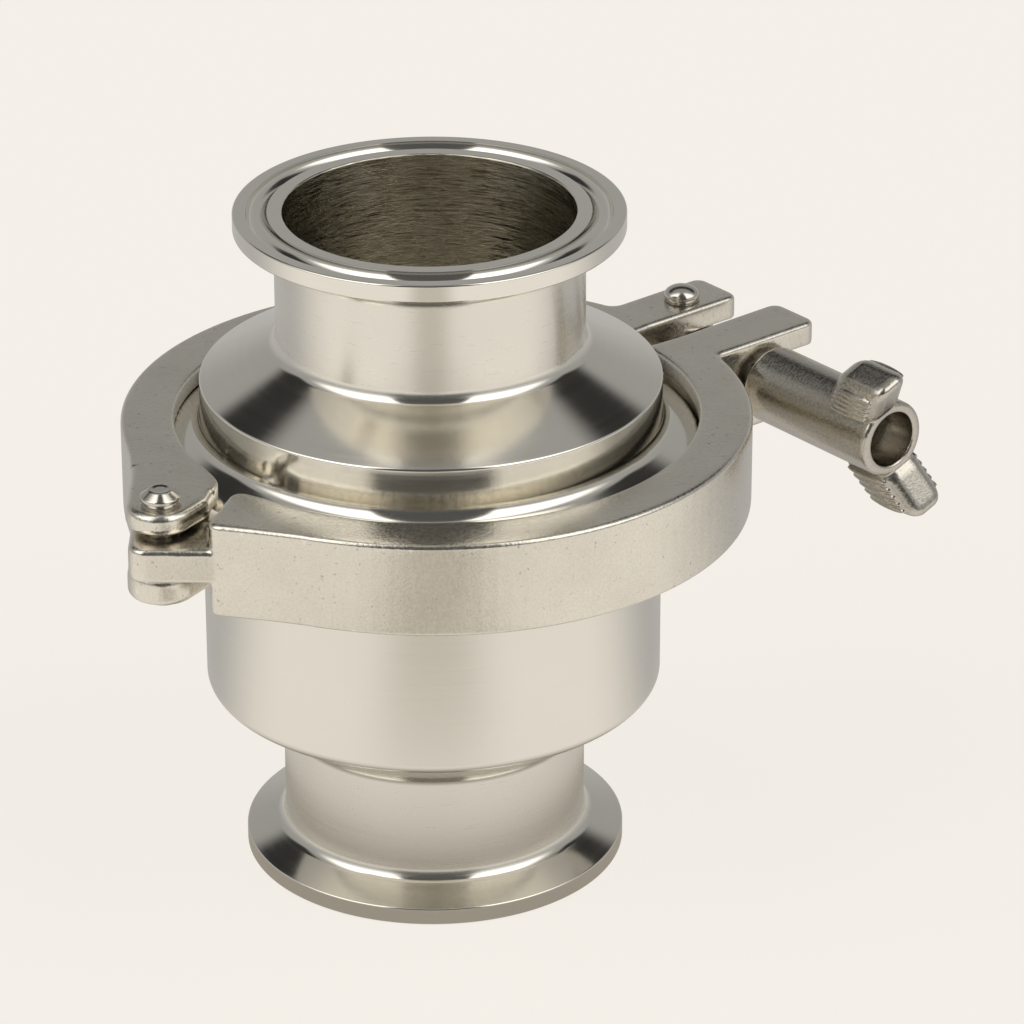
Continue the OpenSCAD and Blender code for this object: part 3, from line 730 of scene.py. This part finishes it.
@dataclass
class Clamp:
    """The hinged ring clamp: two cast halves and their two riveted pins."""

    voxel: float = 0.32
    cast_passes: int = 3
    last_passes: int = 3
    rear_kink: Span = (161.0, 21.4)
    front_kink: Span = (209.0, 8.5)
    pin_edge: float = 0.12
    pin_r: float = 2.5
    hinge_collar: float = 0.6
    pivot_collar: float = 0.4
    collar_in: float = 0.6
    head_dent: float = 0.15
    cone_rise: float = 0.38
    cone_top: float = 0.55
    cone_dent: float = 0.3
    cone_rounds: tuple[float, ...] = (0.25, 0.35, 0.8, 0.3)
    dome_rise: float = 0.15
    dome_steps: int = 10
    tail_r: float = 2.9
    tail_round: float = 0.6
    collar_round: float = 0.2
    turn: float = 38.5
    offset: float = 0.9
    ring_r: float = 47.7
    ease_l: float = 5.5
    ease_depth: float = 3.0
    wide_edge: float = 1.6
    tight_edge: float = 0.8
    ear_edge: float = 1.25
    ear_reach: float = 15.0
    lip_r: float = 46.0
    lip_edge: float = 0.6
    wall_band: float = 0.7
    upright: float = 0.2
    pin_clear: float = 3.2
    ease_reach: float = 4.0

    def ease(self, piece: Piece, angle: float, kink: float) -> None:
        """Fills the hollow kink in the outer wall where a cast shape leaves the ring.

        Args:
            piece: The cast half.
            angle: Angle of the kink on the ring, in the clamp's own frame, in degrees.
            kink: How much the wall turns there, in degrees.
        """
        middle = Vector((self.offset * MM, 0))
        way = math.radians(self.turn + angle)
        for vertex in piece.data.vertices:
            arm = vertex.co.xy - middle
            share = min(1.0, max(0.0, (arm.length / MM - self.ring_r) / self.ease_depth))
            if not share:
                continue
            swing = (math.atan2(arm.y, arm.x) - way + math.pi) % FULL_TURN - math.pi
            away = abs(swing) * arm.length / MM / self.ease_l
            if away < self.ease_reach:
                tail = math.erfc(away / math.sqrt(2)) / 2
                fill = math.exp(-away * away / 2) / math.sqrt(FULL_TURN) - away * tail
                push = share * math.radians(kink) * self.ease_l * fill
                vertex.co.xy += arm.normalized() * push * MM
        piece.data.update()

    def walls(self, piece: Piece, low: float, high: float) -> list[bpy.types.MeshVertex]:
        """Finds the points of a casting's upright walls just inside its edges, the pins' bores left out."""
        pins = [centre(node) for node in ("hinge_pin", "bolt_pivot_pin")]
        found = []
        for vertex in piece.data.vertices:
            depth = min(high - vertex.co.z / MM, vertex.co.z / MM - low)
            near_edge = self.wide_edge < depth < self.wide_edge + self.wall_band
            if near_edge and abs(vertex.normal.z) < self.upright:
                if all((vertex.co - pin).xy.length > self.pin_clear * MM for pin in pins):
                    found.append(vertex)
        return found

    def true_up(self, piece: Piece, node: str) -> None:
        """Levels a casting's top and bottom and tightens the round of their edges.

        Each point near an edge is moved from the solid's wide round to a tight one, at the same angle.

        Args:
            piece: The casting.
            node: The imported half, which gives the heights of the top and the bottom.
        """
        low, high = (side[2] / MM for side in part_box(node))
        walls = self.walls(piece, low, high)
        tree = KDTree(len(walls))
        for i, wall in enumerate(walls):
            tree.insert((wall.co.x, wall.co.y, 0), i)
        tree.balance()
        hinge = centre("hinge_pin")
        moves = []
        for vertex in piece.data.vertices:
            up = 1 if vertex.co.z / MM > (low + high) / 2 else -1
            plane = high if up > 0 else low
            depth = abs(plane - vertex.co.z / MM)
            if depth > self.wide_edge or vertex.normal.z * up < -self.upright:
                continue
            wall = walls[tree.find((vertex.co.x, vertex.co.y, 0))[1]]
            out = wall.normal.xy.normalized()
            inset = max(0.0, (wall.co - vertex.co).xy.dot(out) / MM)
            if inset >= self.wide_edge:
                moves.append((vertex, Vector((vertex.co.x, vertex.co.y, plane * MM))))
                continue
            tight = self.tight_edge
            if (wall.co - hinge).xy.length < self.ear_reach * MM and node == "clamp_rear_half":
                tight = self.ear_edge
            if wall.co.xy.length < self.lip_r * MM and out.dot(wall.co.xy) < 0:
                tight = self.lip_edge
            angle = math.atan2(self.wide_edge - depth, self.wide_edge - inset)
            spot = vertex.co.xy + out * (inset - tight * (1 - math.cos(angle))) * MM
            moves.append((vertex, Vector((*spot, (plane - up * tight * (1 - math.sin(angle))) * MM))))
        for vertex, spot in moves:
            vertex.co = spot
        piece.data.update()

    def half(self, node: str, body: str, kink: Span, skin: Skin) -> None:
        """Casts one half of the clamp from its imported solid.

        Args:
            node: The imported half.
            body: The body that carries it.
            kink: Angle on the ring of the outer wall's kink, and how much it turns there.
            skin: The half's material.
        """
        piece = solid_copy(node + "_casting", node)
        cast(piece, self.voxel, self.cast_passes)
        self.ease(piece, *kink)
        self.true_up(piece, node)
        Bench.modify(piece, "SMOOTH", factor=RELAX, iterations=self.last_passes)
        settle(piece, skin, body, node)

    def pin(self, node: str, head: Head, collar_h: float, skin: Skin) -> None:
        """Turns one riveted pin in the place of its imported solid.

        Args:
            node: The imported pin.
            head: The form of its head.
            collar_h: Height of the collar that shows under the head.
            skin: The pin's material.
        """
        low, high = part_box(node)
        foot, top = low[2] / MM, high[2] / MM
        head_r = (high[0] - low[0]) / 2 / MM
        half_low, half_high = (side[2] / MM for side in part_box("clamp_rear_half"))
        seat = half_high + collar_h
        rise = top - seat
        if head is Head.CONE:
            edge, shoulder, rim, dent = self.cone_rounds
            crown = [
                Corner(head_r, seat, edge),
                Corner(head_r, seat + self.cone_rise * rise, shoulder),
                Corner(head_r * self.cone_top, top, rim),
                Corner(head_r * self.cone_dent, top - self.head_dent, dent),
                Corner(0, top - self.head_dent),
            ]
        else:
            tilts = [math.pi / 2 * i / self.dome_steps for i in range(self.dome_steps + 1)]
            foot_z = seat + self.dome_rise * rise
            crown = [Corner(head_r, seat)] + [
                Corner(head_r * math.cos(t), foot_z + (top - foot_z) * math.sin(t)) for t in tilts
            ]
        profile = outline([
            Corner(0, foot),
            Corner(self.tail_r, foot, self.tail_round),
            Corner(self.tail_r, half_low),
            Corner(self.pin_r, half_low),
            Corner(self.pin_r, half_high),
            Corner(head_r - self.collar_in, half_high),
            Corner(head_r - self.collar_in, seat, self.collar_round),
            *crown,
        ])
        piece = turned(node + "_rivet", profile, closed=False, steps=SMALL_STEPS)
        middle = Vector(((low[0] + high[0]) / 2, (low[1] + high[1]) / 2, 0))
        Bench.place(piece, Matrix.Translation(middle))
        machined(piece, self.pin_edge)
        settle(piece, skin, "valve_body", node)

    def build(self) -> None:
        """Makes the halves and the pins."""
        casting = CastFinish().make()
        self.half("clamp_rear_half", "valve_body", self.rear_kink, casting)
        self.half("clamp_front_half", "front_clamp", self.front_kink, casting)
        rivet = PolishedFinish().make()
        self.pin("hinge_pin", Head.CONE, self.hinge_collar, rivet)
        self.pin("bolt_pivot_pin", Head.DOME, self.pivot_collar, rivet)


@dataclass
class SwingBolt:
    """The eye bolt that swings out of the fork, with its rolled thread."""

    shank_r: float = 3.4
    eye_r: float = 5.5
    eye_h: float = 7.2
    eye_edge: float = 0.6
    pin_r: float = 2.55
    plain_l: float = 13.0
    pitch: float = 1.25
    thread_depth: float = 0.45
    crest_share: float = 0.36
    turn_steps: int = 24
    edge: float = 0.3
    point_l: float = 0.5
    shank_in: float = 1.0
    thread_end: float = 1.0
    voxel: float = 0.2
    passes: int = 3

    def thread(self, start: float, end: float) -> Piece:
        """Winds the thread's crest round the shank, as a rounded wire half sunk in it.

        Args:
            start: Distance along the shank at which the thread starts.
            end: Distance at which it ends.

        Returns:
            The thread's mesh, with the shank's axis along Z.
        """
        turns = (end - start) / self.pitch
        count = int(turns * self.turn_steps)
        line = bpy.data.curves.new("thread", "CURVE")
        line.dimensions = "3D"
        line.bevel_depth = self.pitch * self.crest_share * MM
        line.bevel_resolution = 2
        line.use_fill_caps = True
        spline = line.splines.new("POLY")
        spline.points.add(count)
        crest = self.shank_r - line.bevel_depth / MM
        for i, point in enumerate(spline.points):
            angle = FULL_TURN * turns * i / count
            z = start + (end - start) * i / count
            point.co = (crest * math.cos(angle) * MM, crest * math.sin(angle) * MM, z * MM, 1)
        Bench.hold(Bench.new("thread", line))
        bpy.ops.object.convert(target="MESH")
        return bpy.context.object

    def build(self) -> None:
        """Makes the swing bolt: eye, plain neck and threaded shank in one."""
        low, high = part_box("swing_bolt")
        pivot, along, lay = bolt_place()
        ends = [Vector((x, y, 0)) for x in (low[0], high[0]) for y in (low[1], high[1])]
        reach = max((end - pivot).dot(along) for end in ends) / MM
        length = reach - self.shank_r * abs(along.x)
        core = self.shank_r - self.thread_depth
        eye = turned("swing_bolt_forged", outline([
            Corner(self.pin_r, -self.eye_h / 2, self.edge),
            Corner(self.eye_r, -self.eye_h / 2, self.eye_edge),
            Corner(self.eye_r, self.eye_h / 2, self.eye_edge),
            Corner(self.pin_r, self.eye_h / 2, self.edge),
        ]), steps=SMALL_STEPS)
        shank = turned("shank", outline([
            Corner(0, self.pin_r + self.shank_in),
            Corner(self.shank_r, self.pin_r + self.shank_in),
            Corner(self.shank_r, self.plain_l, self.edge),
            Corner(core, self.plain_l + 2 * self.edge, self.edge),
            Corner(core, length - self.point_l),
            Corner(core - self.point_l, length),
            Corner(0, length),
        ]), closed=False, steps=SMALL_STEPS)
        thread = self.thread(self.plain_l, length - self.thread_end)
        for piece in (shank, thread):
            Bench.place(piece, lay)
        forged = Bench.join("swing_bolt_forged", [eye, shank, thread])
        Bench.place(forged, Matrix.Translation(pivot))
        cast(forged, self.voxel, self.passes)
        skin = PolishedFinish("rolled_stainless", roughness=0.24).make()
        settle(forged, skin, "eye_bolt", "swing_bolt")


@dataclass
class WingNut:
    """The long wing nut: a barrel with a recess and two swept, ribbed wings, cast in one.

    It is made with the barrel along Z and the wings along Y, and then laid on the bolt.
    """

    barrel_r: float = 6.55
    barrel_l: float = 30.3
    barrel_edge: float = 0.9
    bore_r: float = 3.45
    recess_r: float = 4.7
    recess_l: float = 9.5
    recess_edge: float = 0.5
    root_r: float = 5.0
    wing_r: float = 14.0
    wing_t: float = 8.0
    wing_base_l: float = 12.4
    wing_tip_l: float = 11.2
    wing_sweep: float = 5.4
    wing_edge: float = 2.5
    lean: float = 21.0
    ribs: int = 5
    rib_r: float = 0.62
    rib_end: float = 1.5
    rib_foot: float = 0.4
    rib_top: float = 0.8
    seat: float = 23.1
    voxel: float = 0.2
    passes: int = 3

    def barrel(self) -> Piece:
        """Turns the barrel with its bore and its recess."""
        floor = self.barrel_l - self.recess_l
        return turned("wing_nut_casting", outline([
            Corner(self.bore_r, 0),
            Corner(self.barrel_r, 0, self.barrel_edge),
            Corner(self.barrel_r, self.barrel_l, self.barrel_edge),
            Corner(self.recess_r, self.barrel_l, self.recess_edge),
            Corner(self.recess_r, floor),
            Corner(self.bore_r, floor),
        ]), steps=SMALL_STEPS)

    def wing(self) -> Piece:
        """Shapes one wing from a block: its tip is shortened and swept out, and all but its root rounded."""
        height = self.wing_r - self.root_r
        middle = Vector((0, self.root_r + height / 2, self.barrel_l - self.wing_base_l / 2)) * MM
        size = Vector((self.wing_t, height, self.wing_base_l)) * MM
        wing = Bench.add(bpy.ops.mesh.primitive_cube_add, size=1, location=middle, scale=size)
        root = [v.co.y < middle.y for v in wing.data.vertices]
        Bench.edit(wing)
        bpy.ops.mesh.select_mode(type="VERT")
        bpy.ops.mesh.select_all(action="DESELECT")
        bpy.ops.object.mode_set(mode="OBJECT")
        for vertex, low in zip(wing.data.vertices, root):
            vertex.select = not low
        bpy.ops.object.mode_set(mode="EDIT")
        tip = Vector((0, self.wing_r * MM, middle.z))
        shift = self.wing_sweep + (self.wing_base_l - self.wing_tip_l) / 2
        bpy.ops.transform.resize(value=(1, 1, self.wing_tip_l / self.wing_base_l), center_override=tip)
        bpy.ops.transform.translate(value=(0, 0, shift * MM))
        Bench.rest()
        for edge in wing.data.edges:
            edge.select = not all(root[i] for i in edge.vertices)
        Bench.hold(wing)
        bpy.ops.object.mode_set(mode="EDIT")
        bpy.ops.mesh.select_mode(type="EDGE")
        bpy.ops.mesh.bevel(offset=self.wing_edge * MM, segments=5, affect="EDGES", clamp_overlap=True)
        Bench.rest()
        return wing

    def rib(self, side: int, share: float) -> Piece:
        """Makes one grip rib, which runs along the barrel and fades at its ends.

        Args:
            side: 1 or -1, the face of the wing that it lies on.
            share: Its place between the barrel (0) and the wing's tip (1).

        Returns:
            The rib.
        """
        low, high = self.barrel_r + self.rib_foot, self.wing_r - self.wing_edge * self.rib_top
        y = low + share * (high - low)
        up = (y - self.root_r) / (self.wing_r - self.root_r)
        start = self.barrel_l - self.wing_base_l + up * (self.wing_base_l + self.wing_sweep - self.wing_tip_l)
        end = self.barrel_l + up * self.wing_sweep
        place = Vector((side * self.wing_t / 2, y, (start + end) / 2)) * MM
        size = Vector((self.rib_r, self.rib_r, (end - start) / 2 - self.rib_end)) * MM
        shape = {"segments": 12, "ring_count": 24, "radius": 1}
        return Bench.add(bpy.ops.mesh.primitive_uv_sphere_add, location=place, scale=size, **shape)

    def build(self) -> None:
        """Joins the barrel, wings and ribs, lays them on the bolt and casts them in one."""
        pieces = [self.barrel()]
        for turn in (0.0, math.pi):
            wing = [self.wing()]
            wing += [self.rib(side, i / (self.ribs - 1)) for side in (-1, 1) for i in range(self.ribs)]
            whole = Bench.join("wing", wing)
            Bench.place(whole, Matrix.Rotation(turn + math.radians(self.lean), 4, "Z"))
            pieces.append(whole)
        nut = Bench.join("wing_nut_casting", pieces)
        pivot, along, lay = bolt_place()
        Bench.place(nut, Matrix.Translation(pivot + along * self.seat * MM) @ lay)
        cast(nut, self.voxel, self.passes)
        skin = CastFinish(
            "tumbled_cast_stainless",
            face=(0.64, 0.61, 0.55, 1),
            shade=(0.46, 0.435, 0.385, 1),
            depth=0.011,
            wear=0.0,
        ).make()
        settle(nut, skin, "nut", "wing_nut")


@dataclass
class ValveGear:
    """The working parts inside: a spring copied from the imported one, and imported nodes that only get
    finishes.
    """

    wire_facet: float = 50.0

    def build(self) -> None:
        """Makes the spring and dresses the other pieces."""
        polished = PolishedFinish("polished_inner_stainless").make()
        low, high = (side[2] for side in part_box("valve_spring"))
        lift = joint("disc_lift")["range_m"][1]
        piece = solid_copy("closing_spring", "valve_spring")
        Bench.hold(piece)
        bpy.ops.object.shade_smooth_by_angle(angle=math.radians(self.wire_facet))
        settle(piece, polished, "valve_body", "valve_spring")
        1 - lift / (high - low)
        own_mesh(piece)
        steel = TurnedFinish("turned_inner_stainless", bore_r=0.0).make([], (0, 0))
        rubber = MouldedFinish("silicone_rubber", (0.78, 0.76, 0.70, 1), (0.66, 0.64, 0.58, 1), 0.55)
        plastic = MouldedFinish("white_bush_plastic", (0.86, 0.85, 0.81, 1), (0.78, 0.77, 0.72, 1), 0.38)
        for skin, nodes in (
            (polished, ("valve_stem", "stem_washer", "stem_nut")),
            (steel, ("valve_disc", "guide_spider", "inlet_guide")),
            (rubber.make(), ("body_gasket", "disc_seal_ring")),
            (plastic.make(), ("guide_bush",)),
        ):
            for node in nodes:
                for slot in frame["nodes"][node].material_slots:
                    slot.material = skin


# The studio


@dataclass
class Studio:
    """Camera at the photograph's viewing angle, pale floor and soft light from all round."""

    eye: tuple[float, float, float] = (0.0, -782.58, 435.33)
    yaw: float = 0.970
    pitch: float = 25.594
    roll: float = -0.112
    lens: float = 183.40
    floor_size: float = 40.0
    floor_drop: float = 0.0001
    pale: Colour = (0.913, 0.871, 0.812, 1)
    # painted shade in the floor as the metal sees it: a darker colour in front, a cool grey one behind
    near: Colour = (0.62, 0.58, 0.52, 1)
    cool_shade: Colour = (0.49, 0.48, 0.47, 1)
    shown: Colour = (0.961, 0.9165, 0.8565, 1)
    # painted shadow in the floor as the metal sees it: darker round the object and darkest at its foot
    close_shadow: Colour = (0.72, 0.685, 0.63, 1)
    foot: Colour = (0.36, 0.33, 0.285, 1)
    paper: Colour = (0.92, 0.88, 0.83, 1)
    camera_share: float = 0.85
    metal_share: float = 0.9
    # spans that place the painted shade and painted shadow in the floor
    near_shade_x: Span = (85.0, 25.0)
    near_shade_y: Span = (-70.0, -150.0)
    close_shadow_r: Span = (95.0, 45.0)
    foot_shadow_r: Span = (56.0, 40.0)
    behind: Span = (-0.35, 0.55)
    base_glow: float = 0.375
    low_glow: float = 0.1
    box_glow: float = 1.45
    gap_shade: float = 0.75
    back_shade: float = 0.92
    gap_half: float = 0.10
    gap_spread: float = 0.42
    gap_edge: Span = (0.0, 0.05)
    gap_front: Span = (-0.15, 0.1)
    box_edge: Span = (0.3, 0.6)
    box_back: Span = (-0.17, 0.23)
    back_z: Span = (0.58, 0.72)
    back_y: Span = (0.3, 0.45)
    base_tint: Colour = (0.985, 0.975, 0.95, 1)
    box_tint: Colour = (1.0, 0.975, 0.925, 1)

    def camera(self) -> None:
        """Makes the scene's camera from its place and its three angles."""
        data = bpy.data.cameras.new("camera")
        data.lens = self.lens
        data.clip_end = 100
        camera = Bench.new("camera", data)
        turn = Matrix.Rotation(math.radians(-self.yaw), 4, "Z")
        tilt = Matrix.Rotation(math.radians(90 - self.pitch), 4, "X")
        bank = Matrix.Rotation(math.radians(self.roll), 4, "Z")
        camera.matrix_world = Matrix.Translation(Vector(self.eye) * MM) @ turn @ tilt @ bank
        bpy.context.scene.camera = camera

    def floor(self) -> None:
        """Makes the pale floor, which is see-through from below.

        The camera and the metal see its pale colour with the object's soft shadow on it. In the metal
        the floor also carries painted shade: a darker zone straight in front, a darker cool grey zone behind,
        and a painted shadow round the object that is darkest at its foot.
        """
        place = (0, 0, -self.floor_drop)
        floor = Bench.add(bpy.ops.mesh.primitive_plane_add, size=self.floor_size, location=place)
        floor.name = "floor"
        skin = bpy.data.materials.new("pale_floor")
        skin.use_nodes = True
        board = Board(skin.node_tree)
        x, y, _ = board.parts(board.position())
        reach = board.math("SQRT", x * x + y * y) + 1.0
        # painted shade: a darker zone in front and a cool grey zone behind, seen only in the metal
        ahead = board.step(abs(x), *self.near_shade_x) * board.step(y, *self.near_shade_y)
        behind = board.step(y / reach, *self.behind)
        mirrored_with_shade = board.blend(behind, self.shown, self.cool_shade)
        mirrored_with_shade = board.blend(ahead, mirrored_with_shade, self.near)
        # painted shadow: the floor darkened round the object and most at its foot, seen only in the metal
        mirrored_with_shade = board.blend(board.step(reach, *self.close_shadow_r), mirrored_with_shade, self.close_shadow)
        mirrored_with_shade = board.blend(board.step(reach, *self.foot_shadow_r), mirrored_with_shade, self.foot)
        camera = board.ray("Camera")
        glow = board.node("Emission", values={"Color": board.blend(camera, mirrored_with_shade, self.shown)})
        paper = board.node("BsdfDiffuse", values={"Color": self.paper})
        bounced = board.ray("Glossy") + board.ray("Transmission")
        share = camera * self.camera_share + bounced * self.metal_share
        lit = board.node("MixShader", values={0: share, 1: paper, 2: glow})
        below = board.node("NewGeometry", out="Backfacing")
        surface = board.node("MixShader", values={0: below, 1: lit, 2: board.node("BsdfTransparent")})
        board.node("OutputMaterial", values={"Surface": surface})
        floor.data.materials.append(skin)
        floor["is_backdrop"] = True

    def light(self) -> None:
        """Wires the world: two wide soft boxes overhead, dark gaps round them and a grey backdrop."""
        world = bpy.data.worlds.new("studio")
        bpy.context.scene.world = world
        world.use_nodes = True
        board = Board(world.node_tree)
        x, y, z = board.parts(board.node("TexCoord", out="Generated"))
        front = board.math("MAXIMUM", y * -1, 0.0)
        beside = board.step(abs(x) - (self.gap_half + front * self.gap_spread), *self.gap_edge)
        ahead = board.step(z * 0.1 - y, *self.box_back)
        box = beside * ahead * board.step(z, *self.box_edge)
        gap = (1 - beside) * board.step(y * -1, *self.gap_front)
        dark_back = board.band(z, *self.back_z, 0.09) * board.step(y, *self.back_y)
        base = self.base_glow + board.step(z, 0.35, 0.0) * self.low_glow
        level = base * (1 - self.back_shade * dark_back) * (1 - self.gap_shade * gap) + box * self.box_glow
        tint = board.blend(box, self.base_tint, self.box_tint)
        soft = board.node("Background", values={"Color": tint, "Strength": level})
        plain = board.node("Background", values={"Color": self.pale, "Strength": 1.0})
        surface = board.node("MixShader", values={0: board.ray("Camera"), 1: soft, 2: plain})
        board.node("OutputWorld", values={"Surface": surface})

    def build(self) -> None:
        """Makes the studio and sets the plain view."""
        self.camera()
        self.floor()
        self.light()
        bpy.context.scene.view_settings.view_transform = "Standard"


def corners(box: Iterable[Vector]) -> list[list[float]]:
    """A box as plain lists of numbers."""
    return [list(corner) for corner in box]


def main(cad_box: Iterable[Vector]) -> None:
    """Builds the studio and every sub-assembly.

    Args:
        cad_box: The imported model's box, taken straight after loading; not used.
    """
    logging.basicConfig(level=logging.INFO, format="%(message)s")
    for part in (Studio(), Body(), Clamp(), SwingBolt(), WingNut(), ValveGear()):
        part.build()
        logging.info("%s is built", type(part).__name__)


if __name__ == "__main__":
    main(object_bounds())
